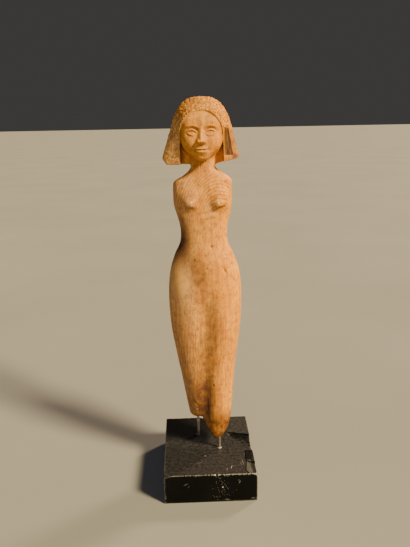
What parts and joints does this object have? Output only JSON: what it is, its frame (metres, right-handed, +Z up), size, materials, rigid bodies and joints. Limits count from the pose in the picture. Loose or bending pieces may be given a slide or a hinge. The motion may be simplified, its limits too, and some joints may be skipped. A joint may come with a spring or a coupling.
{
  "type": "wooden statuette",
  "caption": "Slender carved wooden figure of a standing woman in a short curled wig, arms and feet lost, held by wire pins above a chipped black rectangular block.",
  "frame": {"origin": "middle of the block's underside", "axes": "+Z up, the figure looks along -Y, +X is the viewer's right when facing it"},
  "size_m": [0.07, 0.09, 0.2947],
  "materials": {
    "carved_wood": "old, dry, hand-rubbed to a low sheen",
    "black_stone": null,
    "steel_pin": "dull drawn wire"
  },
  "bodies": {
    "root": {"figure": "carved_wood", "base_block": "black_stone", "front_pin": "steel_pin", "rear_pin": "steel_pin"}
  },
  "joints": []
}
